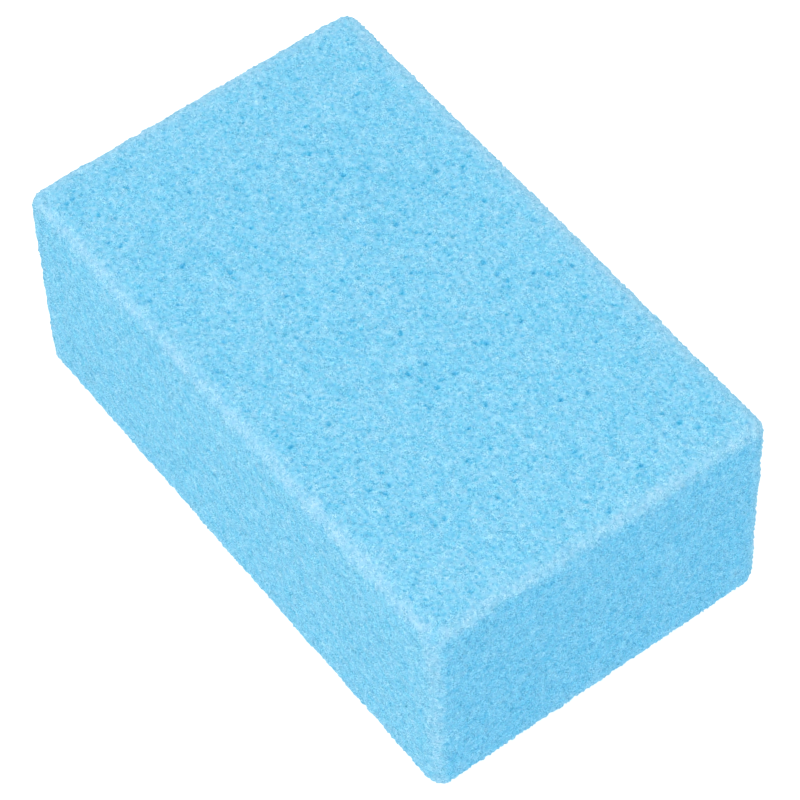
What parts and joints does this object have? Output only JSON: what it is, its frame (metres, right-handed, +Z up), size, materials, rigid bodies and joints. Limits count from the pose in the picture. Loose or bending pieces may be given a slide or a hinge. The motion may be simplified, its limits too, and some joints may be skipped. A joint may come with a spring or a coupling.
{
  "type": "nail buffer block",
  "caption": "Rounded rectangular foam block with an abrasive grit coat bonded to each large face, held in the hand to file and buff nails.",
  "frame": {"origin": "middle of the lower abrasive face, on the surface that the block stands on", "axes": "+X along the block's length, +Y across its width, +Z up through its height"},
  "size_m": [0.095, 0.057, 0.039],
  "materials": {
    "foam": "light blue fine-celled polyurethane foam, cut and ground, fully matt",
    "bond_resin": "thin flexible resin coat, pale blue, matt",
    "grit": "light blue abrasive grain in resin over foam, matt, with small open pits"
  },
  "bodies": {
    "root": {"foam_core": "foam", "top_bond_coat": "bond_resin", "top_grit_coat": "grit", "bottom_bond_coat": "bond_resin", "bottom_grit_coat": "grit"}
  },
  "joints": []
}
